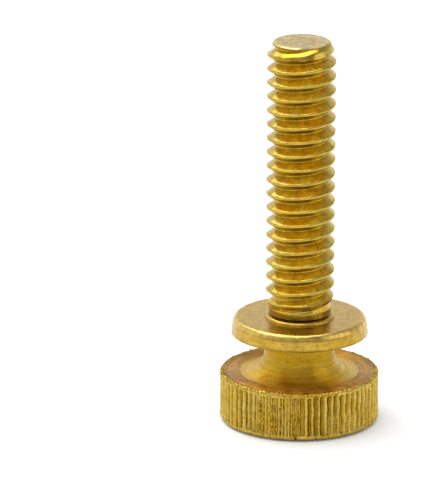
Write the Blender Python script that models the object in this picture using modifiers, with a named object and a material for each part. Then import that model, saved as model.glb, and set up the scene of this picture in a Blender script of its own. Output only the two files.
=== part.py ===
"""Brass thumb screw: knurled head on a flared neck, pressed-in threaded stud, captive washer.

The screw stands on its head. +Z runs along its axis towards the stud's tip, and the origin is the
middle of the head's outer face. Lengths are in metres, and a profile's points are (radius, height).
"""

import math

import bmesh
import bpy
from mathutils import Vector

# Head and neck
HEAD_DIAMETER = 0.0142
HEAD_HEIGHT = 0.0044
HEAD_RIM_CHAMFER = 0.00045
HEAD_LEDGE_CHAMFER = 0.0002
KNURL_TEETH = 72
KNURL_DEPTH = 0.0002
NECK_HEIGHT = 0.00357
NECK_WALL = 0.00074
FLARE_RADIUS = 0.0018
BORE_FLOOR = 0.002
BORE_CHAMFER = 0.0001

# Stud, with a unified coarse thread of twenty turns to the inch
THREAD_DIAMETER = 0.00612
THREAD_PITCH = 0.00127
THREAD_LENGTH = 0.02528
THREAD_FLANK_ANGLE = math.radians(30)
THREAD_DEPTH_TO_PITCH = 0.58
CREST_WIDTH_TO_PITCH = 0.17
THREAD_TIP_ANGLE = math.radians(159)
TIP_CHAMFER_WIDTH = 0.00056
TIP_CHAMFER_LENGTH = 0.0011
RUNOUT_TURNS = 1.0
SHANK_STEP = 0.0003
SHANK_HEIGHT = 0.0006
FOOT_WIDTH = 0.0004
SPIGOT_CHAMFER = 0.0003

# Captive washer
WASHER_DIAMETER = 0.0121
WASHER_THICKNESS = 0.0015
WASHER_EDGE_WIDTH = 0.0005
WASHER_EDGE_HEIGHT = 0.00075
LIP_HEIGHT = 0.00025

# Clearances
PRESS_CLEARANCE = 0.00005
SEAT_CLEARANCE = 0.00002
WASHER_HOLE_CLEARANCE = 0.0001
WASHER_PLAY = 0.00015
LIP_CLEARANCE = 0.0001
CUTTER_MARGIN = 0.0001

# Facets
TURNED_STEPS = 72
THREAD_STEPS = 32
SPARE_TURNS = 2
FACET_OFFSET = 0.3
FLARE_POINTS = 7
EDGE_POINTS = 5
LIP_POINTS = 7
MERGE_DISTANCE = 1e-7
SHARP_ANGLE = math.radians(25)

# Sizes that follow from the ones above
head_radius = HEAD_DIAMETER / 2
thread_radius = THREAD_DIAMETER / 2
thread_depth = THREAD_DEPTH_TO_PITCH * THREAD_PITCH
root_radius = thread_radius - thread_depth
runout_height = RUNOUT_TURNS * THREAD_PITCH
shank_radius = thread_radius - SHANK_STEP
spigot_radius = shank_radius - FOOT_WIDTH
bore_radius = spigot_radius + PRESS_CLEARANCE
neck_radius = bore_radius + NECK_WALL
shoulder_z = HEAD_HEIGHT + NECK_HEIGHT
washer_z = shoulder_z + SEAT_CLEARANCE
washer_top_z = washer_z + WASHER_THICKNESS
foot_z = washer_top_z + LIP_HEIGHT + WASHER_PLAY
runout_z = foot_z + SHANK_HEIGHT
tip_z = washer_top_z + THREAD_LENGTH
spigot_z = BORE_FLOOR + SEAT_CLEARANCE


def clear_scene():
    for obj in list(bpy.data.objects):
        bpy.data.objects.remove(obj, do_unlink=True)


def new_collection(name):
    collection = bpy.data.collections.new(name)
    bpy.context.scene.collection.children.link(collection)
    return collection


def new_object(name, data, collection):
    obj = bpy.data.objects.new(name, data)
    collection.objects.link(obj)
    return obj


def brass(name, color, roughness):
    material = bpy.data.materials.new(name)
    material.use_nodes = True
    shader = material.node_tree.nodes["Principled BSDF"]
    shader.inputs["Base Color"].default_value = (*color, 1.0)
    shader.inputs["Metallic"].default_value = 1.0
    shader.inputs["Roughness"].default_value = roughness
    return material


def evaluated_mesh(obj):
    """The object's mesh with its modifiers applied and its seams welded."""
    graph = bpy.context.evaluated_depsgraph_get()
    mesh = bpy.data.meshes.new_from_object(obj.evaluated_get(graph))
    work = bmesh.new()
    work.from_mesh(mesh)
    bmesh.ops.remove_doubles(work, verts=work.verts, dist=MERGE_DISTANCE)
    work.to_mesh(mesh)
    work.free()
    return mesh


def apply_modifiers(obj):
    mesh = evaluated_mesh(obj)
    obj.modifiers.clear()
    obj.data = mesh


def arc(center, radii, start, end, count):
    """Points along an ellipse's arc, with both ends, for angles from the radius towards +Z."""
    points = []
    for i in range(count):
        angle = start + (end - start) * i / (count - 1)
        points.append((center[0] + radii[0] * math.cos(angle), center[1] + radii[1] * math.sin(angle)))
    return points


def profile_mesh(name, points, closed=False):
    """A line through the points in the XZ plane, joined end to start where it is closed."""
    edges = [(i, i + 1) for i in range(len(points) - 1)]
    if closed:
        edges.append((len(points) - 1, 0))
    mesh = bpy.data.meshes.new(name)
    mesh.from_pydata([(radius, 0.0, height) for radius, height in points], edges, [])
    return mesh


def turn(obj, steps, turns=1, lead=0.0):
    """Turns a profile about Z into a ring or, with a lead, into a helix."""
    screw = obj.modifiers.new("turn", "SCREW")
    screw.axis = "Z"
    screw.angle = math.tau
    screw.steps = steps
    screw.render_steps = steps
    screw.iterations = turns
    screw.screw_offset = lead
    screw.use_merge_vertices = lead == 0.0
    screw.merge_threshold = MERGE_DISTANCE


def turned_object(name, points, steps, collection, closed=False):
    obj = new_object(name, profile_mesh(name, points, closed), collection)
    turn(obj, steps)
    return obj


def combine(obj, operation, other):
    """Cuts an object to another, or joins the other to it, and hides the other."""
    boolean = obj.modifiers.new(operation.lower(), "BOOLEAN")
    boolean.operation = operation
    boolean.solver = "EXACT"
    boolean.object = other
    other.hide_render = True
    other.display_type = "WIRE"


def head_profile():
    """From the bore's floor, up its wall, over the shoulder and down the outside to the face."""
    blank_radius = head_radius + CUTTER_MARGIN
    ledge_radius = head_radius - max(HEAD_LEDGE_CHAMFER, KNURL_DEPTH)
    flare = min(FLARE_RADIUS, NECK_HEIGHT, ledge_radius - neck_radius)
    flare_center = (neck_radius + flare, HEAD_HEIGHT + flare)
    return [
        (0.0, BORE_FLOOR),
        (bore_radius, BORE_FLOOR),
        (bore_radius, shoulder_z - BORE_CHAMFER),
        (bore_radius + BORE_CHAMFER, shoulder_z),
        (neck_radius, shoulder_z),
        *arc(flare_center, (flare, flare), math.pi, 1.5 * math.pi, FLARE_POINTS),
        (head_radius - HEAD_LEDGE_CHAMFER, HEAD_HEIGHT),
        (blank_radius, HEAD_HEIGHT - HEAD_LEDGE_CHAMFER - CUTTER_MARGIN),
        (blank_radius, HEAD_RIM_CHAMFER + CUTTER_MARGIN),
        (head_radius - HEAD_RIM_CHAMFER, 0.0),
        (0.0, 0.0),
    ]


def knurl_outline():
    """A star whose points are the knurl's crests and whose notches are its grooves."""
    points = []
    for i in range(2 * KNURL_TEETH):
        radius = head_radius - KNURL_DEPTH * (i % 2)
        angle = math.pi * i / KNURL_TEETH
        points.append((radius * math.cos(angle), radius * math.sin(angle)))
    return points


def make_knurl_cutter(collection):
    """A straight star prism, taller than head and neck, that the turned blank is cut to."""
    outline = knurl_outline()
    curve = bpy.data.curves.new("knurl_outline", "CURVE")
    curve.dimensions = "2D"
    curve.fill_mode = "BOTH"
    curve.extrude = shoulder_z
    spline = curve.splines.new("POLY")
    spline.points.add(len(outline) - 1)
    for point, (x, y) in zip(spline.points, outline):
        point.co = (x, y, 0.0, 1.0)
    spline.use_cyclic_u = True
    flat = new_object("knurl_outline", curve, collection)
    cutter = new_object("knurl_cutter", evaluated_mesh(flat), collection)
    bpy.data.objects.remove(flat, do_unlink=True)
    cutter.location.z = shoulder_z / 2
    return cutter


def make_head(parts, cutters):
    head = turned_object("knurled_head", head_profile(), TURNED_STEPS, parts)
    combine(head, "INTERSECT", make_knurl_cutter(cutters))
    return head


def thread_profile():
    """One pitch of the thread, from the top down, with its crest at height 0."""
    crest = CREST_WIDTH_TO_PITCH * THREAD_PITCH / 2
    root = crest + thread_depth * math.tan(THREAD_FLANK_ANGLE)
    return [
        (root_radius, THREAD_PITCH - root),
        (root_radius, root),
        (thread_radius, crest),
        (thread_radius, -crest),
        (root_radius, -root),
    ]


def close_ends(mesh):
    """Draws each open end of a threaded bar in to a point on its axis."""
    work = bmesh.new()
    work.from_mesh(mesh)
    rims = [edge for edge in work.edges if edge.is_boundary]
    middle = sum(vert.co.z for vert in work.verts) / len(work.verts)
    drawn = bmesh.ops.extrude_edge_only(work, edges=rims)["geom"]
    verts = [item for item in drawn if isinstance(item, bmesh.types.BMVert)]
    for end in ([v for v in verts if v.co.z < middle], [v for v in verts if v.co.z > middle]):
        height = sum(vert.co.z for vert in end) / len(end)
        bmesh.ops.pointmerge(work, verts=end, merge_co=Vector((0.0, 0.0, height)))
    bmesh.ops.recalc_face_normals(work, faces=work.faces)
    work.to_mesh(mesh)
    work.free()


def crest_profile():
    """What the thread's crests are cut to: the tip, its chamfer and the run-out above the shank."""
    outside = thread_radius + CUTTER_MARGIN
    inside = shank_radius - CUTTER_MARGIN
    runout_slope = runout_height / (thread_radius - inside)
    tip_radius = thread_radius - TIP_CHAMFER_WIDTH
    tip_slope = TIP_CHAMFER_LENGTH / TIP_CHAMFER_WIDTH
    return [
        (0.0, tip_z),
        (tip_radius, tip_z),
        (outside, tip_z - (outside - tip_radius) * tip_slope),
        (outside, runout_z + (outside - inside) * runout_slope),
        (inside, runout_z),
        (0.0, runout_z),
    ]


def core_profile():
    """The plain shank, its cone into the thread's root, its foot, and the spigot below it."""
    inside = root_radius - CUTTER_MARGIN
    runout_slope = runout_height / (shank_radius - root_radius)
    return [
        (0.0, runout_z + (shank_radius - inside) * runout_slope),
        (inside, runout_z + (shank_radius - inside) * runout_slope),
        (shank_radius, runout_z),
        (shank_radius, foot_z),
        (spigot_radius, foot_z),
        (spigot_radius, spigot_z + SPIGOT_CHAMFER),
        (spigot_radius - SPIGOT_CHAMFER, spigot_z),
        (0.0, spigot_z),
    ]


def make_stud(parts, cutters):
    """A bar threaded past both ends of the thread, cut to its crests and joined to the core.

    The turned faces start part of a facet away from the thread's, so that no edges coincide.
    """
    stud = new_object("threaded_stud", profile_mesh("threaded_stud", thread_profile()), parts)
    turns = math.ceil((tip_z - runout_z) / THREAD_PITCH) + 2 * SPARE_TURNS
    turn(stud, THREAD_STEPS, turns, THREAD_PITCH)
    apply_modifiers(stud)
    close_ends(stud.data)
    turns_to_tip = turns - SPARE_TURNS + THREAD_TIP_ANGLE / math.tau
    stud.location.z = tip_z - turns_to_tip * THREAD_PITCH
    crests = turned_object("stud_crests", crest_profile(), THREAD_STEPS, cutters)
    core = turned_object("stud_core", core_profile(), THREAD_STEPS, cutters)
    for turned in (crests, core):
        turned.rotation_euler.z = FACET_OFFSET * math.tau / THREAD_STEPS
    combine(stud, "INTERSECT", crests)
    combine(stud, "UNION", core)
    return stud


def washer_profile():
    """From the foot of the hole, up over the raised lip and the face to the rounded outer edge."""
    radius = WASHER_DIAMETER / 2
    hole_radius = spigot_radius + WASHER_HOLE_CLEARANCE
    lip_half_width = (thread_radius + LIP_CLEARANCE - hole_radius) / 2
    lip_center = (hole_radius + lip_half_width, WASHER_THICKNESS)
    edge_center = (radius - WASHER_EDGE_WIDTH, WASHER_THICKNESS - WASHER_EDGE_HEIGHT)
    edge_radii = (WASHER_EDGE_WIDTH, WASHER_EDGE_HEIGHT)
    return [
        (hole_radius, 0.0),
        *arc(lip_center, (lip_half_width, LIP_HEIGHT), math.pi, 0.0, LIP_POINTS),
        *arc(edge_center, edge_radii, math.pi / 2, 0.0, EDGE_POINTS),
        (radius, 0.0),
    ]


def make_washer(parts):
    washer = turned_object("collar_washer", washer_profile(), TURNED_STEPS, parts, closed=True)
    washer.location.z = washer_z
    return washer


def finish(obj, material, root):
    apply_modifiers(obj)
    obj.data.shade_smooth()
    obj.data.set_sharp_from_angle(angle=SHARP_ANGLE)
    obj.data.materials.append(material)
    obj.parent = root


def build():
    clear_scene()
    parts = new_collection("thumb_screw")
    cutters = new_collection("thumb_screw_cutters")
    root = new_object("thumb_screw_axis", None, parts)
    finish(make_head(parts, cutters), brass("head_brass", (0.78, 0.55, 0.17), 0.3), root)
    finish(make_stud(parts, cutters), brass("stud_brass", (0.80, 0.54, 0.14), 0.25), root)
    finish(make_washer(parts), brass("washer_brass", (0.76, 0.57, 0.22), 0.35), root)


build()
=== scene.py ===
"""Looks of the brass thumb screw: fine meshes for its three pieces, brass, floor, light and camera.

Lengths are in metres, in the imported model's frame: +Z runs along the screw's axis from the head's outer
face to the stud's tip. Angles are counted from +X towards +Y, so the camera's side is at -90 degrees.
Waves round the axis are counted in a turn, and rates along it are in radians in a metre.
"""

import math
from typing import NamedTuple

import bmesh
import bpy
import numpy as np
from mathutils import Matrix, Vector


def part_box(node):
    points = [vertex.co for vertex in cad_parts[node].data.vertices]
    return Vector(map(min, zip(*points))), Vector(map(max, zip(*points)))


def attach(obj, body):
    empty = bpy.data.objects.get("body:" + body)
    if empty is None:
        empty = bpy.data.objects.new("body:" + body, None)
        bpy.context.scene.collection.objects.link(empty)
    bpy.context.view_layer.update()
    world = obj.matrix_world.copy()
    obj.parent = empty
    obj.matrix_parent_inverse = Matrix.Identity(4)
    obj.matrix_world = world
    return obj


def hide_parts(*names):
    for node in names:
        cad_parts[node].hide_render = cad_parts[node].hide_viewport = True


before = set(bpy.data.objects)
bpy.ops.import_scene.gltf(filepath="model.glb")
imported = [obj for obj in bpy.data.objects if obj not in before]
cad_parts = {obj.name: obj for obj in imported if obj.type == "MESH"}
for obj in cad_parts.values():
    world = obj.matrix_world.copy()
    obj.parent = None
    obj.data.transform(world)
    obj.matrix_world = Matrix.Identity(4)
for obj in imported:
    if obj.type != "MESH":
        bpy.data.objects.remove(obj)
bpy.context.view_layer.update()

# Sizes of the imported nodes
head_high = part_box("knurled_head")[1]
stud_low, stud_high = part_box("threaded_stud")
washer_low, washer_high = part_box("collar_washer")
HEAD_RADIUS = head_high.x
SHOULDER_Z = head_high.z
THREAD_RADIUS = stud_high.x
SPIGOT_Z = stud_low.z
TIP_Z = stud_high.z
WASHER_RADIUS = washer_high.x
WASHER_Z = washer_low.z
LIP_TOP_Z = washer_high.z

# Head and neck
HEAD_HEIGHT = 0.0044
RIM_CHAMFER = 0.00045
LEDGE_CHAMFER = 0.0002
NECK_RADIUS = 0.00315
NECK_EDGE = 0.00005
NECK_UNEVENNESS = 0.000004
FLARE_RADIUS = 0.0018
FLARE_UNEVENNESS = 0.000002
BORE_RADIUS = 0.00241
BORE_FLOOR = 0.002
BORE_CHAMFER = 0.0001

# Polished ring round the flare, and the turned ledge a small step above it
POLISHED_RADIUS = 0.0052
POLISHED_DROP = 0.00003
POLISHED_RING_SPACING = 0.00018
POLISHED_RING_DEPTH = 0.000004
STEP_RISE = 0.00002
STEP_WIDTH = 0.00006
LEDGE_RING_SPACING = 0.0003
LEDGE_RING_DEPTH = 0.000012
LEDGE_UNEVENNESS = 0.000004
LEDGE_WAVES = (2, 30)
LEDGE_BORDER = 0.0005
LEDGE_END = 0.0004

# Ragged edge of the ledge: each row's inset, its drop as a share of the chamfer, its share of the burr
EDGE_ROWS = ((0.0002, 0.0, 0.6), (0.00012, 0.3, 1.0), (0.00005, 0.6, 0.6), (0.00001, 0.9, 0.2))
BURR_HEIGHT = 0.00008
BURR_SHARES = (0.2, 1.0)
BURR_WAVES = (60, 300)
BURR_ROUGHNESS = 0.7
BURR_ENDS = (0.0, 1.7)
CHIP_WAVES = (80, 300)
CHIP_ROUGHNESS = 0.6
CHIP_ENDS = (0.2, 1.6)

# Knurl: ridges, with heights as shares of the depth, and widths, shifts and sways as shares of a tooth
KNURL_TEETH = 72
KNURL_DEPTH = 0.00027
KNURL_TOP = HEAD_HEIGHT - 1.2 * LEDGE_CHAMFER
KNURL_FOOT = RIM_CHAMFER + 0.0001
RIDGE_HEIGHTS = (0.75, 1.05)
RIDGE_WIDTHS = (0.2, 0.34)
RIDGE_SHIFT = 0.04
RIDGE_SWAY = 0.03
RIGHT_SWAY = 0.05
RIGHT_SWAY_ANGLES = (0.3, 0.9)
SWAY_RATE = 3200.0

# Knurl: second track at half the pitch, with heights as shares of the first track's
TRACK_LEFT = 0.75
TRACK_LEFT_LOW = 0.15
TRACK_RIGHT_LOW = 0.45
TRACK_BACK = 0.5
TRACK_MOST = 0.9
TRACK_NARROWING = 0.35
TRACK_FLOOR = 0.33
LOW_HEIGHTS = (0.0018, 0.0026)
BACK_PATCHES = 2.5
BACK_FADE = (0.3, 0.8)
BEHIND_FADE = (-0.2, 0.1)

# Knurl: ends of the grooves below the ledge and above the rim, and the crinkled surface
GROOVE_TOPS = (0.00022, 0.0004)
GROOVE_FEET = (0.0, 0.0001)
GROOVE_ARCH = 0.00018
GROOVE_END = 0.00008
GROOVE_FILL = 0.85
CRINKLE_DEPTH = 0.000022
CRINKLE_IN_GROOVES = 0.3
CRINKLE_COUNT = 60
CRINKLE_WAVES = (20, 300)
CRINKLE_RATE = 30000.0

# Outer face with turned rings
RING_SPACING = 0.00056
RING_DEPTH = 0.00004
RING_WANDER = 0.08
RING_STRENGTH = 0.75
RING_SHARPNESS = 1.5
RING_FADE = 0.0004
WANDER_RADIUS = 0.002
FACE_WAVES = (1, 4)
FACE_BORDER = 0.0003
FACE_CENTRE = 0.00004

# Stud, with shares of the pitch
PITCH = 0.00127
DEPTH_SHARE = 0.58
CREST_SHARE = 0.13
FLANK_SHARE = 0.405
CORNER_SHARE = 0.012
CREST_WEAR = 0.00001
CREST_UNEVENNESS = 0.000006
CREST_DRIFT = 0.05
ROOT_RADIUS = THREAD_RADIUS - DEPTH_SHARE * PITCH
CREST_RADIUS = THREAD_RADIUS - CREST_WEAR
TIP_ANGLE = math.radians(159)
TIP_CHAMFER = 0.00056
TIP_CHAMFER_LENGTH = 0.0011
TIP_BEVEL = 0.00011
TIP_RADIUS = THREAD_RADIUS - TIP_CHAMFER - TIP_BEVEL
TIP_RINGS = (1.0, 0.9, 0.7, 0.45, 0.2)
SHANK_RADIUS = 0.00276
SPIGOT_RADIUS = 0.00236
SPIGOT_CHAMFER = 0.0003
FOOT_Z = 0.00989
RUNOUT_Z = 0.01049
NICK_COUNT = 34
NICK_RADIUS = 0.0001
NICK_DEPTHS = (0.00002, 0.00008)
CUT_TOLERANCE = 1e-9
LEAST_DRAWN = 0.985

# Washer
WASHER_THICKNESS = 0.0015
WASHER_TOP_Z = WASHER_Z + WASHER_THICKNESS
HOLE_RADIUS = 0.00246
HOLE_BEVEL = 0.00005
HOLE_ROW = 0.0009
LIP_RADIUS = 0.00316
LIP_FOOT = 0.00008
EDGE_WIDTH = 0.0005
EDGE_HEIGHT = 0.00075
SIDE_TAPER = 0.00005
SIDE_FOOT = 0.0001
WASHER_BURR = 0.00003
WASHER_BURR_RISE = 0.00005
UNDERSIDE_BORDER = 0.0002
WASHER_UNEVENNESS = 0.00001
WASHER_WAVES = (2, 40)
UNEVEN_RADII = (0.0045, 0.006)

# Mesh density
FINE_COLUMNS = 12 * KNURL_TEETH
COARSE_COLUMNS = 3 * KNURL_TEETH
NECK_ROWS = 16
FLARE_ROWS = 24
ROWS_IN_RING = 4
KNURL_ROWS = 44
RIM_ROWS = 7
FACE_ROWS = 88
THREAD_COLUMNS = 120
FLANK_ROWS = 6
WASHER_COLUMNS = 240
LIP_ROWS = 14
TOP_ROWS = 14
EDGE_ROUND_ROWS = 16
SIDE_ROWS = 6
UNDERSIDE_ROWS = 8
SHARP_ANGLE = math.radians(50)

# Material indices of the head, the stud and the washer
KNURLED, LEDGE, NECK, FLARE, FACE = range(5)
THREADED, TIP = range(2)
OUTSIDE, UNDERSIDE = range(2)

rng = np.random.default_rng(7)


# Tools for turned meshes

def polar(radius, height, angles):
    """Points at these radii and heights, one for each angle."""
    return np.stack([radius * np.cos(angles), radius * np.sin(angles), height + 0.0 * angles], axis=1)


def around(count):
    """Even angles over a full turn."""
    return np.arange(count) * math.tau / count


def smooth_step(low, high, value):
    """0 up to low and 1 from high on, with a smooth rise between them."""
    share = np.clip((value - low) / (high - low), 0.0, 1.0)
    return share * share * (3.0 - 2.0 * share)


def wobble(angles, lowest, highest):
    """A smooth random wave round the axis, about 1 in size, with so many waves in a turn."""
    total = np.zeros_like(angles)
    for waves in range(lowest, highest + 1):
        total += rng.normal() * np.cos(waves * angles) + rng.normal() * np.sin(waves * angles)
    return total / math.sqrt(highest - lowest + 1)


def rough_share(angles, waves, roughness, ends):
    """A share that varies about 1 round the axis and stays between two ends."""
    return np.clip(1 + roughness * wobble(angles, *waves), *ends)


class Rows:
    """Rings of points, from one end of a turned outline to the other, each with its material index."""

    def __init__(self):
        self.rows = []
        self.zones = []

    def add(self, points, zone):
        self.rows.append(points)
        self.zones.append(zone)

    def add_ring(self, radius, height, angles, zone):
        self.add(polar(radius, height, angles), zone)

    def add_centre(self, height, zone):
        self.add(np.array([[0.0, 0.0, height]]), zone)


def ring_faces(first, count_a, count_b, start_b):
    """Faces between a ring of count_a points and the next one of count_b points."""
    if count_a == 1:
        return [(first, start_b + j, start_b + (j + 1) % count_b) for j in range(count_b)]
    if count_b == 1:
        return [(first + j, start_b, first + (j + 1) % count_a) for j in range(count_a)]
    few = min(count_a, count_b)
    step_a = count_a // few
    step_b = count_b // few
    faces = []
    for j in range(few):
        side_a = [first + (j * step_a + k) % count_a for k in range(step_a + 1)]
        side_b = [start_b + (j * step_b + k) % count_b for k in range(step_b + 1)]
        faces.append((*side_a, *reversed(side_b)))
    return faces


def ring_mesh(name, outline, closed=False):
    """A mesh through an outline's rings, with a material index for the strip after each ring."""
    rows = outline.rows
    starts = np.cumsum([0] + [len(row) for row in rows])
    faces = []
    indices = []
    for i in range(len(rows) if closed else len(rows) - 1):
        j = (i + 1) % len(rows)
        strip = ring_faces(int(starts[i]), len(rows[i]), len(rows[j]), int(starts[j]))
        faces.extend(strip)
        indices.extend([outline.zones[i]] * len(strip))
    mesh = bpy.data.meshes.new(name)
    mesh.from_pydata(np.concatenate(rows).tolist(), [], faces)
    mesh.polygons.foreach_set("material_index", indices)
    return mesh


def finish_mesh(mesh):
    """Outward normals and smooth shading, with edges kept sharp beyond the sharp angle."""
    work = bmesh.new()
    work.from_mesh(mesh)
    bmesh.ops.recalc_face_normals(work, faces=work.faces)
    work.to_mesh(mesh)
    work.free()
    mesh.shade_smooth()
    mesh.set_sharp_from_angle(angle=SHARP_ANGLE)


def add_piece(name, mesh, materials, node, body):
    """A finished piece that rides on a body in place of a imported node."""
    finish_mesh(mesh)
    piece = bpy.data.objects.new(name, mesh)
    bpy.context.scene.collection.objects.link(piece)
    for material in materials:
        mesh.materials.append(material)
    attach(piece, body)
    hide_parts(node)


# Head

class Sector(NamedTuple):
    """A stretch of the rim that fades in and out, in radians from the front towards +X."""

    fade_in: tuple
    fade_out: tuple

    def share(self, angles):
        return smooth_step(*self.fade_in, angles) * (1 - smooth_step(*self.fade_out, angles))


LEFT_FRONT = Sector(fade_in=(-0.75, -0.55), fade_out=(-0.05, 0.1))
RIGHT_FRONT = Sector(fade_in=(0.25, 0.45), fade_out=(0.8, 1.0))


class Knurl:
    """A straight knurl with uneven, crinkled ridges, rolled a second time over parts of the rim."""

    def __init__(self):
        self.angles = around(FINE_COLUMNS)
        self.tooth = self.angles * KNURL_TEETH / math.tau
        self.from_front = np.angle(np.exp(1j * (self.angles + math.pi / 2)))
        self.left = LEFT_FRONT.share(self.from_front)
        self.right = RIGHT_FRONT.share(self.from_front)
        self.heights = rng.uniform(*RIDGE_HEIGHTS, KNURL_TEETH)
        self.widths = rng.uniform(*RIDGE_WIDTHS, KNURL_TEETH)
        self.shifts = RIDGE_SHIFT * rng.normal(size=KNURL_TEETH)
        self.phases = rng.uniform(0, math.tau, KNURL_TEETH)
        self.top_ends = HEAD_HEIGHT - rng.uniform(*GROOVE_TOPS, KNURL_TEETH)
        self.low_ends = RIM_CHAMFER + rng.uniform(*GROOVE_FEET, KNURL_TEETH)
        self.burrs = rng.uniform(*BURR_SHARES, KNURL_TEETH)
        self.crinkles = [self.draw_crinkle() for _ in range(CRINKLE_COUNT)]

    def draw_crinkle(self):
        """A random wave over the rim: its waves in a turn, its rate along the axis and its phase."""
        waves = rng.integers(*CRINKLE_WAVES)
        rate = rng.uniform(-CRINKLE_RATE, CRINKLE_RATE)
        return waves, rate, rng.uniform(0, math.tau)

    def crinkle(self, z):
        """A rough wave over the rim, about 1 in size."""
        total = sum(np.cos(waves * self.angles + rate * z + phase) for waves, rate, phase in self.crinkles)
        return total / math.sqrt(len(self.crinkles))

    def second_track(self, z):
        """Heights of the ridges between the teeth: on the left front, low on the right, patchy behind."""
        low = 1 - smooth_step(*LOW_HEIGHTS, z)
        patches = smooth_step(*BACK_FADE, -np.cos(BACK_PATCHES * self.from_front))
        behind = 1 - smooth_step(*BEHIND_FADE, np.cos(self.from_front))
        track = (TRACK_LEFT + TRACK_LEFT_LOW * low) * self.left
        track = track + TRACK_RIGHT_LOW * self.right * low + TRACK_BACK * patches * behind
        return np.clip(track, 0, TRACK_MOST)

    def ridges(self, z, offset):
        """Heights from 0 in a groove to about 1 on a ridge, for ridges set off by a share of a tooth."""
        place = self.tooth - offset
        nearest = np.round(place).astype(int) % KNURL_TEETH
        sway = RIDGE_SWAY + RIGHT_SWAY * smooth_step(*RIGHT_SWAY_ANGLES, self.from_front)
        middle = self.shifts[nearest] + sway * np.sin(SWAY_RATE * z + self.phases[nearest])
        width = self.widths[nearest] * (1 - TRACK_NARROWING * self.left)
        away = (place - np.round(place) - middle) / width
        return self.heights[nearest] * np.exp(-away * away)

    def groove_ends(self, z):
        """1 above and below the grooves, which end in arches, and 0 along them."""
        groove = np.floor(self.tooth).astype(int) % KNURL_TEETH
        arch = GROOVE_ARCH * (2 * (self.tooth % 1.0) - 1) ** 2
        above = z - self.top_ends[groove] + arch
        below = self.low_ends[groove] + arch - z
        return smooth_step(-GROOVE_END, GROOVE_END, np.maximum(above, below))

    def radius(self, z):
        ridge = np.maximum(self.ridges(z, 0.0), self.second_track(z) * self.ridges(z, 0.5))
        ridge = np.maximum(ridge, TRACK_FLOOR * self.left)
        filled = np.clip(np.maximum(ridge, GROOVE_FILL * self.groove_ends(z)), 0, 1)
        crinkled = CRINKLE_IN_GROOVES + (1 - CRINKLE_IN_GROOVES) * filled
        crinkle = CRINKLE_DEPTH * crinkled * (self.crinkle(z) - 1)
        radius = HEAD_RADIUS - KNURL_DEPTH * (1 - filled) + crinkle
        return np.minimum(radius, HEAD_RADIUS)

    def burr(self):
        """How far the ragged metal at the ledge's edge stands up, tooth by tooth."""
        nearest = np.round(self.tooth).astype(int) % KNURL_TEETH
        ragged = rough_share(self.angles, BURR_WAVES, BURR_ROUGHNESS, BURR_ENDS)
        return BURR_HEIGHT * self.burrs[nearest] * ragged


def add_neck(head, angles):
    """The bore, the shoulder and the neck."""
    head.add_centre(BORE_FLOOR, NECK)
    for radius, z in (
        (BORE_RADIUS, BORE_FLOOR),
        (BORE_RADIUS, SHOULDER_Z - BORE_CHAMFER),
        (BORE_RADIUS + BORE_CHAMFER, SHOULDER_Z),
        (NECK_RADIUS - NECK_EDGE, SHOULDER_Z),
    ):
        head.add_ring(radius, z, angles, NECK)
    for z in np.linspace(SHOULDER_Z - NECK_EDGE, HEAD_HEIGHT + FLARE_RADIUS, NECK_ROWS):
        uneven = NECK_UNEVENNESS * rng.normal()
        head.add_ring(NECK_RADIUS + uneven, z, angles, NECK)


def add_flare(head, angles):
    """The neck's flared foot and the polished ring round it."""
    floor_z = HEAD_HEIGHT - POLISHED_DROP
    for turn in np.linspace(math.pi, 1.5 * math.pi, FLARE_ROWS)[1:]:
        uneven = FLARE_UNEVENNESS * rng.normal()
        radius = NECK_RADIUS + FLARE_RADIUS * (1 + math.cos(turn)) + uneven
        z = floor_z + FLARE_RADIUS * (1 + math.sin(turn)) + uneven
        head.add_ring(radius, z, angles, FLARE)
    inner = NECK_RADIUS + FLARE_RADIUS
    for radius in np.arange(inner, POLISHED_RADIUS, POLISHED_RING_SPACING / ROWS_IN_RING)[1:]:
        ring = POLISHED_RING_DEPTH * math.cos(math.tau * radius / POLISHED_RING_SPACING)
        uneven = FLARE_UNEVENNESS * rng.normal()
        head.add_ring(radius, floor_z + ring + uneven, angles, FLARE)


def add_ledge(head, angles):
    """The turned ledge, a small step above the polished ring."""
    foot = POLISHED_RADIUS + STEP_RISE
    head.add_ring(foot, HEAD_HEIGHT, angles, FLARE)
    head.add_ring(foot + STEP_WIDTH, HEAD_HEIGHT + STEP_RISE, angles, LEDGE)
    inner = foot + 2 * STEP_WIDTH
    for radius in np.arange(inner, HEAD_RADIUS - LEDGE_BORDER, LEDGE_RING_SPACING / ROWS_IN_RING):
        ring = 0.5 + 0.5 * math.cos(math.tau * radius / LEDGE_RING_SPACING)
        sag = LEDGE_RING_DEPTH * ring + LEDGE_UNEVENNESS * wobble(angles, *LEDGE_WAVES)
        head.add_ring(radius, HEAD_HEIGHT - sag, angles, LEDGE)


def add_rim(head, knurl):
    """The ragged edge of the ledge, the knurl and the rounded rim below it."""
    angles = knurl.angles
    burr = knurl.burr()
    chips = rough_share(angles, CHIP_WAVES, CHIP_ROUGHNESS, CHIP_ENDS)
    top = knurl.radius(HEAD_HEIGHT - LEDGE_CHAMFER)
    head.add_ring(HEAD_RADIUS - LEDGE_END, HEAD_HEIGHT, angles, LEDGE)
    for inset, drop, share in EDGE_ROWS:
        z = HEAD_HEIGHT - drop * LEDGE_CHAMFER + share * burr
        head.add_ring(top - inset * chips, z, angles, KNURLED)
    for z in np.linspace(KNURL_TOP, KNURL_FOOT, KNURL_ROWS):
        head.add_ring(knurl.radius(z), z, angles, KNURLED)
    foot = knurl.radius(RIM_CHAMFER)
    for turn in np.linspace(0.0, math.pi / 2, RIM_ROWS):
        z = RIM_CHAMFER * (1 - math.sin(turn))
        inset = RIM_CHAMFER * (1 - math.cos(turn))
        head.add_ring(foot - inset, z, angles, KNURLED)


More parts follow.
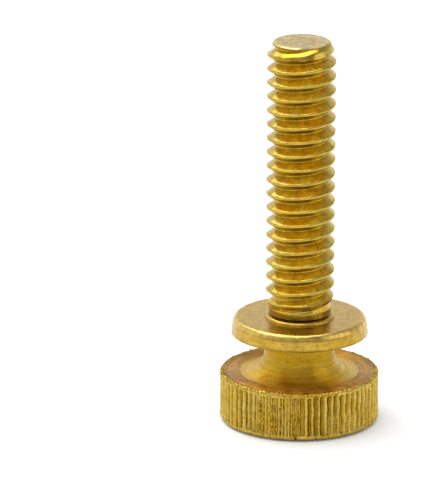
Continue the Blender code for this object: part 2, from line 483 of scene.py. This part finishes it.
def add_face(head, angles):
    """The outer face with its wandering turned rings."""
    border = HEAD_RADIUS - RIM_CHAMFER - FACE_BORDER
    wander = RING_WANDER * wobble(angles, *FACE_WAVES)
    drift = np.clip(0.5 * wobble(angles, *FACE_WAVES), -1, 1)
    strength = RING_STRENGTH + (1 - RING_STRENGTH) * drift
    for radius in np.linspace(border, FACE_CENTRE, FACE_ROWS):
        phase = radius / RING_SPACING + wander * smooth_step(0.0, WANDER_RADIUS, radius)
        ring = (0.5 - 0.5 * np.cos(math.tau * phase)) ** RING_SHARPNESS
        fade = smooth_step(0.0, RING_FADE, border - radius) * strength
        head.add_ring(radius, RING_DEPTH * ring * fade, angles, FACE)
    head.add_centre(0.0, FACE)


def head_mesh():
    """The head from the bore's floor over neck, ledge and rim to the middle of the outer face."""
    head = Rows()
    angles = around(COARSE_COLUMNS)
    add_neck(head, angles)
    add_flare(head, angles)
    add_ledge(head, angles)
    add_rim(head, Knurl())
    add_face(head, angles)
    return ring_mesh("head", head)


# Stud

def thread_shares():
    """Where the thread's rows lie, as shares of the pitch above a crest's middle, closest at corners."""
    crest = CREST_SHARE / 2
    root = crest + FLANK_SHARE
    flank = np.linspace(crest + 3 * CORNER_SHARE, root - 3 * CORNER_SHARE, FLANK_ROWS)
    half = [0.0, 0.6 * crest, crest - CORNER_SHARE, crest + CORNER_SHARE, *flank]
    half += [root - CORNER_SHARE, root + CORNER_SHARE, 0.5]
    return np.array(half + [1.0 - share for share in half[-2:0:-1]])


def thread_rise(share, width):
    """0 at the thread's root and 1 on its crest, for shares of the pitch above the crest's middle."""
    distance = np.abs((share + 0.5) % 1.0 - 0.5)
    return np.clip((width / 2 + FLANK_SHARE - distance) / FLANK_SHARE, 0.0, 1.0)


def along_thread(angles, slowest, fastest, count):
    """A random wave along the thread's winding angle, about 1 in size."""
    total = np.zeros_like(angles)
    for _ in range(count):
        total += np.cos(rng.uniform(slowest, fastest) * angles + rng.uniform(0, math.tau))
    return total * math.sqrt(2 / count)


def nicked(radius, rise, angles, heights):
    """The radius with small dents knocked into the crests."""
    for _ in range(NICK_COUNT):
        angle = rng.uniform(0, math.tau)
        height = rng.uniform(RUNOUT_Z, TIP_Z)
        depth = rng.uniform(*NICK_DEPTHS)
        apart = (radius * np.angle(np.exp(1j * (angles - angle)))) ** 2 + (heights - height) ** 2
        radius = radius - depth * rise * np.exp(-apart / NICK_RADIUS**2)
    return radius


def stud_radius(angles, heights, share):
    """The stud's radius above its foot: thread, tip chamfer, run-out and plain shank."""
    drift = along_thread(angles, slowest=1.0, fastest=8.0, count=12)
    rise = thread_rise(share, CREST_SHARE * (1 + CREST_DRIFT * drift))
    uneven = along_thread(angles, slowest=2.0, fastest=30.0, count=16)
    crest = CREST_RADIUS - CREST_UNEVENNESS * (1 + uneven)
    radius = ROOT_RADIUS + (crest - ROOT_RADIUS) * rise
    radius = nicked(radius, rise, angles, heights)
    cone = THREAD_RADIUS - TIP_CHAMFER + (TIP_Z - heights) * TIP_CHAMFER / TIP_CHAMFER_LENGTH
    run = np.clip((heights - RUNOUT_Z) / PITCH, 0.0, 1.0)
    crests = SHANK_RADIUS + (CREST_RADIUS - SHANK_RADIUS) * run
    core = SHANK_RADIUS + (ROOT_RADIUS - SHANK_RADIUS) * run
    return np.minimum(np.maximum(np.minimum(radius, crests), core), cone)


def thread_strip():
    """The thread as one welded helical strip, longer than the stud at both ends."""
    shares = thread_shares()
    rows = len(shares)
    first = math.floor((FOOT_Z - TIP_Z) / PITCH) - 1
    total = (2 - first) * THREAD_COLUMNS
    angles = np.arange(total + 1)[:, None] * math.tau / THREAD_COLUMNS
    heights = TIP_Z + PITCH * (first + (angles - TIP_ANGLE) / math.tau + shares[None, :])
    radii = stud_radius(angles, heights, shares[None, :])
    points = np.stack([radii * np.cos(angles), radii * np.sin(angles), heights], axis=2).reshape(-1, 3)
    faces = []
    for column in range(total):
        here = column * rows
        after = here + rows
        for row in range(rows - 1):
            faces.append((here + row, after + row, after + row + 1, here + row + 1))
        above = here + THREAD_COLUMNS * rows
        if column + 1 + THREAD_COLUMNS <= total:
            faces.append((here + rows - 1, after + rows - 1, above + rows, above))
    return points, faces


def cut(work, height, keep_above):
    """Cuts the mesh off at a height and gives the edges of the cut."""
    found = bmesh.ops.bisect_plane(
        work,
        geom=work.verts[:] + work.edges[:] + work.faces[:],
        dist=CUT_TOLERANCE,
        plane_co=(0.0, 0.0, height),
        plane_no=(0.0, 0.0, 1.0),
        clear_inner=keep_above,
        clear_outer=not keep_above,
    )
    return [item for item in found["geom_cut"] if isinstance(item, bmesh.types.BMEdge)]


def draw_in(work, edges, steps, zone):
    """Extends an open rim by rings of given radius and height, never outwards, and caps the last one.

    A point outside a ring's radius is drawn in by a least share or more, and one inside keeps its radius.
    """
    for radius, height in steps:
        made = bmesh.ops.extrude_edge_only(work, edges=edges)["geom"]
        edges = [item for item in made if isinstance(item, bmesh.types.BMEdge)]
        verts = {vert for edge in edges for vert in edge.verts}
        for vert in verts:
            place = math.hypot(vert.co.x, vert.co.y)
            scale = min(radius / place, LEAST_DRAWN if radius < place else 1.0)
            vert.co.x *= scale
            vert.co.y *= scale
            vert.co.z = height
        for item in made:
            if isinstance(item, bmesh.types.BMFace):
                item.material_index = zone
    for face in bmesh.ops.contextual_create(work, geom=edges)["faces"]:
        face.material_index = zone


def stud_mesh():
    """The thread's strip, cut to length and closed by the spigot below and the flat tip above."""
    points, faces = thread_strip()
    mesh = bpy.data.meshes.new("stud")
    mesh.from_pydata(points.tolist(), [], faces)
    work = bmesh.new()
    work.from_mesh(mesh)
    spigot = (
        (SPIGOT_RADIUS, FOOT_Z),
        (SPIGOT_RADIUS, SPIGOT_Z + SPIGOT_CHAMFER),
        (SPIGOT_RADIUS - SPIGOT_CHAMFER, SPIGOT_Z),
    )
    tip = [(share * TIP_RADIUS, TIP_Z) for share in TIP_RINGS]
    draw_in(work, cut(work, FOOT_Z, keep_above=True), spigot, THREADED)
    draw_in(work, cut(work, TIP_Z - TIP_BEVEL, keep_above=False), tip, TIP)
    work.to_mesh(mesh)
    work.free()
    return mesh


# Washer

def washer_outline():
    """From the foot of the hole up over the lip and the face, round the edge and back underneath."""
    top = WASHER_TOP_Z
    middle = (HOLE_RADIUS + LIP_RADIUS) / 2
    half = (LIP_RADIUS - HOLE_RADIUS) / 2
    side = WASHER_RADIUS - SIDE_TAPER
    edge = side - EDGE_WIDTH
    line = [(HOLE_RADIUS, WASHER_Z + HOLE_BEVEL), (HOLE_RADIUS, WASHER_Z + HOLE_ROW)]
    for turn in np.linspace(math.pi, 0.0, LIP_ROWS):
        line.append((middle + half * math.cos(turn), top + (LIP_TOP_Z - top) * math.sin(turn)))
    for radius in np.linspace(LIP_RADIUS + LIP_FOOT, edge, TOP_ROWS):
        line.append((radius, top))
    for turn in np.linspace(math.pi / 2, 0.0, EDGE_ROUND_ROWS)[1:]:
        line.append((edge + EDGE_WIDTH * math.cos(turn), top - EDGE_HEIGHT * (1 - math.sin(turn))))
    for share in np.linspace(0.2, 1.0, SIDE_ROWS):
        z = top - EDGE_HEIGHT - share * (WASHER_THICKNESS - EDGE_HEIGHT - SIDE_FOOT)
        line.append((side + share * SIDE_TAPER, z))
    line.append((WASHER_RADIUS + WASHER_BURR, WASHER_Z + WASHER_BURR_RISE))
    line.append((WASHER_RADIUS - WASHER_BURR, WASHER_Z))
    for radius in np.linspace(WASHER_RADIUS - UNDERSIDE_BORDER, HOLE_RADIUS + HOLE_BEVEL, UNDERSIDE_ROWS):
        line.append((radius, WASHER_Z))
    return line


def washer_mesh():
    """The washer, turned from its outline, with a slightly uneven edge."""
    washer = Rows()
    angles = around(WASHER_COLUMNS)
    uneven = WASHER_UNEVENNESS * wobble(angles, *WASHER_WAVES)
    for radius, z in washer_outline():
        outer = smooth_step(*UNEVEN_RADII, radius)
        washer.add_ring(radius + outer * uneven, z, angles, UNDERSIDE if z == WASHER_Z else OUTSIDE)
    return ring_mesh("washer", washer, closed=True)


# Brass

class Nodes:
    """Adds nodes to a material or a world and joins them."""

    def __init__(self, owner):
        owner.use_nodes = True
        self.tree = owner.node_tree

    def add(self, kind, inputs=(), **settings):
        node = self.tree.nodes.new(kind)
        for name, value in settings.items():
            setattr(node, name, value)
        for key, value in dict(inputs).items():
            self.put(node.inputs[key], value)
        return node

    def put(self, socket, value):
        if isinstance(value, bpy.types.NodeSocket):
            self.tree.links.new(value, socket)
        elif isinstance(value, tuple) and len(value) == 3 and socket.type == "RGBA":
            socket.default_value = (*value, 1.0)
        else:
            socket.default_value = value

    def math(self, operation, a, b=0.0):
        return self.add("ShaderNodeMath", {0: a, 1: b}, operation=operation).outputs[0]

    def vector(self, x, y, z):
        return self.add("ShaderNodeCombineXYZ", {0: x, 1: y, 2: z}).outputs[0]

    def ramp(self, value, *stops):
        """A colour for the value, from (place, colour or grey level) stops."""
        node = self.add("ShaderNodeValToRGB", {"Fac": value})
        elements = node.color_ramp.elements
        while len(elements) < len(stops):
            elements.new(0.5)
        for element, (place, color) in zip(elements, stops):
            element.position = place
            element.color = (*color, 1.0) if isinstance(color, tuple) else (color, color, color, 1.0)
        return node.outputs["Color"]

    def range(self, value, low, high, to_low, to_high):
        inputs = {"Value": value, "From Min": low, "From Max": high, "To Min": to_low, "To Max": to_high}
        return self.add("ShaderNodeMapRange", inputs).outputs[0]

    def mix(self, factor, a, b, blend="MIX"):
        node = self.add("ShaderNodeMix", {0: factor, 6: a, 7: b}, data_type="RGBA", blend_type=blend)
        return node.outputs[2]

    def multiply(self, color, factor):
        return self.mix(1.0, color, factor, "MULTIPLY")

    def noise(self, vector, scale, detail, roughness):
        inputs = {"Vector": vector, "Scale": scale, "Detail": detail, "Roughness": roughness}
        return self.add("ShaderNodeTexNoise", inputs).outputs["Fac"]

    def cylinder(self):
        """The place on the piece, its distance from the axis, its angle from the front and its height."""
        place = self.add("ShaderNodeTexCoord").outputs["Object"]
        x, y, z = self.add("ShaderNodeSeparateXYZ", {0: place}).outputs
        flat = self.vector(x, y, 0.0)
        radius = self.add("ShaderNodeVectorMath", {0: flat}, operation="LENGTH").outputs["Value"]
        angle = self.math("ARCTAN2", x, self.math("MULTIPLY", y, -1.0))
        return place, radius, angle, z


# Noises as scale in a metre, detail and roughness, and the stops of what they drive
DRIFT_NOISE = (620.0, 5.0, 0.6)
DRIFT_ENDS = (0.38, 0.62)
GLOSS_ENDS = (0.3, 0.7)
GLOSS_SHARES = (0.8, 1.2)
MARK_NOISE = (7000.0, 4.0, 0.65)
MARK_STOPS = ((0.3, 0.78), (0.6, 1.0))
MARK_CHANGE = 0.0003
RING_DETAIL = (2.0, 0.5)
RING_ENDS = (0.35, 0.65)
RING_SHADES = (0.75, 1.08)
CLOUD_NOISE = (1700.0, 4.0, 0.7)
CLOUD_ENDS = (0.38, 0.62)
PIT_NOISE = (3600.0, 3.0, 0.6)
PIT_STOPS = ((0.62, 0.0), (0.70, 1.0))
PIT_SHADE = 0.2
GRAIN_NOISE = (9000.0, 4.0, 0.6)
GRAIN_SHARE = 0.5
BAND_GONE = 0.7
ACROSS_TANGENT = 0.25


class GrimeAndPaintedLight(NamedTuple):
    """A band of dirt, a stain or painted light: a tone that is full at the first of a pair of radii or
    heights and fades out towards the second.

    With both pairs it shows only where neither has faded it out.
    """

    tone: tuple
    radii: tuple = None
    heights: tuple = None


class Finish(NamedTuple):
    """A brass surface whose tone drifts from light to deep, with tool marks, mottling and dark pits.

    The marks run round the axis, rising by lead in a turn. turned says how far they stretch the gloss, and
    rings gives the spacing of broader rings among them.
    """

    light: tuple
    deep: tuple
    roughness: float
    mark_depth: float
    pits: float = 0.3
    mottle: float = 0.9
    turned: float = 0.0
    lead: float = 0.0
    rings: float = 0.0
    grime_and_painted_light: tuple = ()


def add_tone_band(nodes, color, band, radius, height):
    """The colour with a band's tone laid over it, which is dirt, a stain or painted light."""
    band_fade = 0.0
    for measure, ends in ((radius, band.radii), (height, band.heights)):
        if ends:
            band_fade = nodes.math("MAXIMUM", band_fade, nodes.range(measure, *ends, 0.0, 1.0))
    return nodes.mix(nodes.range(band_fade, 0.0, BAND_GONE, 0.0, 1.0), band.tone, color)


def brass(name, finish):
    """A brass material with the finish's colours, marks and gloss."""
    material = bpy.data.materials.new(name)
    nodes = Nodes(material)
    shader = nodes.tree.nodes["Principled BSDF"]
    shader.inputs["Metallic"].default_value = 1.0
    shader.inputs["Anisotropic"].default_value = finish.turned
    shader.inputs["Anisotropic Rotation"].default_value = ACROSS_TANGENT
    tangent = nodes.add("ShaderNodeTangent", direction_type="RADIAL", axis="Z")
    nodes.put(shader.inputs["Tangent"], tangent.outputs[0])

    place, radius, angle, height = nodes.cylinder()
    drift = nodes.noise(place, *DRIFT_NOISE)
    color = nodes.ramp(drift, *zip(DRIFT_ENDS, (finish.deep, finish.light)))
    for band in finish.grime_and_painted_light:
        color = add_tone_band(nodes, color, band, radius, height)

    rise = nodes.math("MULTIPLY", angle, finish.lead / math.tau)
    along = nodes.math("MULTIPLY", angle, MARK_CHANGE)
    winding = nodes.vector(radius, nodes.math("SUBTRACT", height, rise), along)
    marks = nodes.noise(winding, *MARK_NOISE)
    color = nodes.multiply(color, nodes.ramp(marks, *MARK_STOPS))
    if finish.rings:
        ring = nodes.noise(winding, 1.0 / finish.rings, *RING_DETAIL)
        color = nodes.multiply(color, nodes.range(ring, *RING_ENDS, *RING_SHADES))
    cloud = nodes.noise(place, *CLOUD_NOISE)
    color = nodes.multiply(color, nodes.ramp(cloud, *zip(CLOUD_ENDS, (finish.mottle, 1.0))))
    pit = nodes.math("MULTIPLY", nodes.ramp(nodes.noise(place, *PIT_NOISE), *PIT_STOPS), finish.pits)
    color = nodes.mix(pit, color, tuple(PIT_SHADE * level for level in finish.deep))
    nodes.put(shader.inputs["Base Color"], color)

    bright, dull = (share * finish.roughness for share in GLOSS_SHARES)
    nodes.put(shader.inputs["Roughness"], nodes.range(drift, *GLOSS_ENDS, bright, dull))
    grain = nodes.math("MULTIPLY", nodes.noise(place, *GRAIN_NOISE), GRAIN_SHARE)
    relief = nodes.math("SUBTRACT", nodes.math("ADD", marks, grain), pit)
    bump = nodes.add("ShaderNodeBump", {"Height": relief, "Strength": 1.0, "Distance": finish.mark_depth})
    nodes.put(shader.inputs["Normal"], bump.outputs[0])
    return material


# Finishes, with bands of darker or lighter brass: dirt, a stain, painted shade and painted highlights

RIM_BAND = 0.0007
STAIN_WIDTH = 0.0007
CREST_BAND = 0.00012
FOOT_BAND = (FOOT_Z + 0.0003, RUNOUT_Z + 0.0004)
TIP_EDGE_BAND = 0.0009
# Radii and heights of the painted highlight along the washer's top edge
EDGE_HIGHLIGHT_RADII = (WASHER_RADIUS - 0.0003, WASHER_RADIUS - 0.0008)
EDGE_HIGHLIGHT_HEIGHTS = (WASHER_TOP_Z - 0.00035, WASHER_TOP_Z - 0.0006)


def knurl_finish():
    # Dark tone in the knurl's grooves that dies out just below the ledge's edge: partly dirt, partly
    # painted shade.
    groove = GrimeAndPaintedLight(
        tone=(0.27, 0.165, 0.009),
        radii=(HEAD_RADIUS - KNURL_DEPTH, HEAD_RADIUS),
        heights=(HEAD_HEIGHT - 1.5 * LEDGE_CHAMFER, HEAD_HEIGHT - LEDGE_CHAMFER),
    )
    # Painted shade: the rim darkens towards its bottom edge, standing in for the shadowed floor that it
    # reflects.
    rim = GrimeAndPaintedLight(tone=(0.42, 0.30, 0.09), heights=(0.0, RIM_BAND))
    return Finish(
        light=(0.74, 0.54, 0.115),
        deep=(0.64, 0.41, 0.045),
        roughness=0.26,
        mark_depth=0.000004,
        pits=0.2,
        mottle=0.75,
        grime_and_painted_light=(groove, rim),
    )


def ledge_finish():
    return Finish(
        light=(0.78, 0.42, 0.05),
        deep=(0.55, 0.25, 0.018),
        roughness=0.46,
        mark_depth=0.000008,
        pits=0.5,
        mottle=0.6,
        turned=0.9,
        rings=0.0004,
    )


def neck_finish():
    return Finish(
        light=(0.64, 0.40, 0.03),
        deep=(0.56, 0.33, 0.015),
        roughness=0.32,
        mark_depth=0.000002,
        pits=0.9,
        turned=0.9,
    )


def flare_finish():
    stain = GrimeAndPaintedLight(tone=(0.72, 0.43, 0.05), radii=(POLISHED_RADIUS, POLISHED_RADIUS - STAIN_WIDTH))
    # Painted light: the flare's brass is lighter than the neck's, to brighten it in the washer's shade.
    return Finish(
        light=(0.82, 0.55, 0.06),
        deep=(0.74, 0.46, 0.03),
        roughness=0.42,
        mark_depth=0.000002,
        pits=0.6,
        turned=0.9,
        rings=0.0006,
        grime_and_painted_light=(stain,),
    )


def face_finish():
    # Painted shade in the grooves of the face's turned rings, so that the rings show under even light.
    ring = GrimeAndPaintedLight(tone=(0.50, 0.29, 0.025), heights=(RING_DEPTH, 0.1 * RING_DEPTH))
    return Finish(
        light=(0.72, 0.52, 0.10),
        deep=(0.63, 0.39, 0.04),
        roughness=0.30,
        mark_depth=0.000005,
        pits=0.6,
        mottle=0.8,
        grime_and_painted_light=(ring,),
    )


def thread_finish():
    # Painted shade: the thread darkens towards its roots.
    root = GrimeAndPaintedLight(tone=(0.60, 0.40, 0.04), radii=(ROOT_RADIUS, CREST_RADIUS))
    # Painted shade on the crests: a darker tone that dims the bright line they reflect.
    crest = GrimeAndPaintedLight(tone=(0.56, 0.40, 0.06), radii=(CREST_RADIUS, CREST_RADIUS - CREST_BAND))
    # Painted shade on the plain foot of the thread next to the washer.
    foot = GrimeAndPaintedLight(tone=(0.52, 0.34, 0.04), heights=FOOT_BAND)
    return Finish(
        light=(0.76, 0.59, 0.13),
        deep=(0.71, 0.43, 0.04),
        roughness=0.15,
        mark_depth=0.000007,
        pits=0.5,
        mottle=0.75,
        lead=PITCH,
        grime_and_painted_light=(root, crest, foot),
    )


def tip_finish():
    # Painted highlight: a paler ring round the edge of the tip's face.
    edge = GrimeAndPaintedLight(tone=(0.75, 0.65, 0.27), radii=(TIP_RADIUS, TIP_RADIUS - TIP_EDGE_BAND))
    return Finish(
        light=(0.78, 0.61, 0.28),
        deep=(0.58, 0.39, 0.15),
        roughness=0.36,
        mark_depth=0.000009,
        mottle=0.6,
        grime_and_painted_light=(edge,),
    )


def washer_finish():
    # Painted highlight: a lighter tone along the washer's rounded top edge.
    painted_edge_highlight = GrimeAndPaintedLight(tone=(0.84, 0.57, 0.15), radii=EDGE_HIGHLIGHT_RADII, heights=EDGE_HIGHLIGHT_HEIGHTS)
    return Finish(
        light=(0.66, 0.43, 0.07),
        deep=(0.58, 0.35, 0.04),
        roughness=0.26,
        mark_depth=0.000005,
        pits=0.5,
        mottle=0.75,
        grime_and_painted_light=(painted_edge_highlight,),
    )


def underside_finish():
    # Painted light: the underside's brass is lighter than the top's, to brighten the shaded flare that
    # reflects it.
    return Finish(light=(0.92, 0.66, 0.13), deep=(0.86, 0.58, 0.08), roughness=0.35, mark_depth=0.000005)


# Pieces

def make_pieces():
    """The three pieces, each with its materials in the order of its material indices."""
    head_materials = (
        brass("knurl_brass", knurl_finish()),
        brass("ledge_brass", ledge_finish()),
        brass("neck_brass", neck_finish()),
        brass("flare_brass", flare_finish()),
        brass("face_brass", face_finish()),
    )
    stud_materials = (
        brass("thread_brass", thread_finish()),
        brass("tip_brass", tip_finish()),
    )
    washer_materials = (
        brass("washer_brass", washer_finish()),
        brass("washer_underside", underside_finish()),
    )
    add_piece("head", head_mesh(), head_materials, "knurled_head", "screw")
    add_piece("stud", stud_mesh(), stud_materials, "threaded_stud", "screw")
    add_piece("washer", washer_mesh(), washer_materials, "collar_washer", "washer")


# Floor, light and camera

FLOOR_REACH = 3.0
FLOOR_WHITE = (0.92, 0.92, 0.92)
FLOOR_ROUGHNESS = 0.9
FLOOR_LIFT = 0.1

CAMERA_DISTANCE = 0.5313
CAMERA_ELEVATION = math.radians(17.71)
CAMERA_PAN = math.radians(0.833)
CAMERA_TILT = math.radians(0.09)
CAMERA_ROLL = math.radians(-0.45)
CAMERA_TARGET = Vector((0.0, 0.0, 0.01464))
CAMERA_LENS = 432.0
CAMERA_CLIP = (0.01, 20.0)

# Dimming of the surround, as stops of a measure of the direction and the brightness there
FRONT_DIMMING = ((0.1, 1.0), (0.75, 0.58))
TOP_DIMMING = ((0.35, 1.0), (0.85, 0.7))
UPPER_RIGHT_DIMMING = ((0.05, 1.0), (0.3, 0.6))


class Softbox(NamedTuple):
    """A rectangular lamp: the lengths of its sides, its place and its power in watts."""

    name: str
    size: tuple
    place: tuple
    power: float


SOFTBOXES = (
    Softbox("overhead", size=(0.5, 0.53), place=(-0.1, 0.05, 0.485), power=1.9),
    Softbox("back_left", size=(0.24, 0.24), place=(-0.26, 0.36, 0.40), power=0.2),
    Softbox("right", size=(0.45, 0.4), place=(0.50, -0.16, 0.30), power=0.4),
)


def make_floor():
    """A white floor, a little brighter where it is seen or reflected, so that its lit part is white."""
    material = bpy.data.materials.new("floor_white")
    nodes = Nodes(material)
    shader = nodes.tree.nodes["Principled BSDF"]
    shader.inputs["Base Color"].default_value = (*FLOOR_WHITE, 1.0)
    shader.inputs["Roughness"].default_value = FLOOR_ROUGHNESS
    shader.inputs["Specular IOR Level"].default_value = 0.0
    shader.inputs["Emission Color"].default_value = (1.0, 1.0, 1.0, 1.0)
    path = nodes.add("ShaderNodeLightPath").outputs
    mirrored = nodes.math("MAXIMUM", path["Is Glossy Ray"], path["Is Transmission Ray"])
    seen = nodes.math("MAXIMUM", path["Is Camera Ray"], mirrored)
    nodes.put(shader.inputs["Emission Strength"], nodes.math("MULTIPLY", seen, FLOOR_LIFT))
    corners = [(x * FLOOR_REACH, y * FLOOR_REACH, 0.0) for x, y in ((-1, -1), (1, -1), (1, 1), (-1, 1))]
    mesh = bpy.data.meshes.new("floor")
    mesh.from_pydata(corners, [], [(0, 1, 2, 3)])
    mesh.materials.append(material)
    floor = bpy.data.objects.new("floor", mesh)
    bpy.context.scene.collection.objects.link(floor)


def make_world():
    """A soft white surround, dimmer in front, overhead and on the upper right."""
    world = bpy.data.worlds.new("studio")
    bpy.context.scene.world = world
    nodes = Nodes(world)
    direction = nodes.add("ShaderNodeTexCoord").outputs["Generated"]
    x, y, z = nodes.add("ShaderNodeSeparateXYZ", {0: direction}).outputs
    front = nodes.ramp(nodes.math("MULTIPLY", y, -1.0), *FRONT_DIMMING)
    color = nodes.multiply(front, nodes.ramp(z, *TOP_DIMMING))
    upper_right = nodes.math("MULTIPLY", x, z)
    color = nodes.multiply(color, nodes.ramp(upper_right, *UPPER_RIGHT_DIMMING))
    nodes.put(nodes.tree.nodes["Background"].inputs["Color"], color)


def add_softbox(softbox):
    """A lamp that shines at the point that the camera's distance is measured from."""
    light = bpy.data.lights.new(softbox.name, "AREA")
    light.shape = "RECTANGLE"
    light.size, light.size_y = softbox.size
    light.energy = softbox.power
    lamp = bpy.data.objects.new(softbox.name, light)
    aim = CAMERA_TARGET - Vector(softbox.place)
    turned = aim.to_track_quat("-Z", "Y").to_matrix().to_4x4()
    lamp.matrix_world = Matrix.Translation(softbox.place) @ turned
    bpy.context.scene.collection.objects.link(lamp)


def make_camera():
    """A camera on the photograph's side, panned, tilted and rolled a little from the target."""
    forward = Vector((0.0, math.cos(CAMERA_ELEVATION), -math.sin(CAMERA_ELEVATION)))
    place = CAMERA_TARGET - CAMERA_DISTANCE * forward
    right = Vector((1.0, 0.0, 0.0))
    up = right.cross(forward)
    pan = Matrix.Rotation(CAMERA_PAN, 3, up)
    forward, right = pan @ forward, pan @ right
    tilt = Matrix.Rotation(CAMERA_TILT, 3, right)
    forward, up = tilt @ forward, tilt @ up
    roll = Matrix.Rotation(CAMERA_ROLL, 3, forward)
    right, up = roll @ right, roll @ up
    data = bpy.data.cameras.new("camera")
    data.lens = CAMERA_LENS
    data.clip_start, data.clip_end = CAMERA_CLIP
    camera = bpy.data.objects.new("camera", data)
    turned = Matrix((right, up, -forward)).transposed().to_4x4()
    camera.matrix_world = Matrix.Translation(place) @ turned
    bpy.context.scene.collection.objects.link(camera)
    bpy.context.scene.camera = camera


make_pieces()
make_floor()
make_world()
for softbox in SOFTBOXES:
    add_softbox(softbox)
make_camera()
bpy.context.scene.view_settings.view_transform = "Standard"
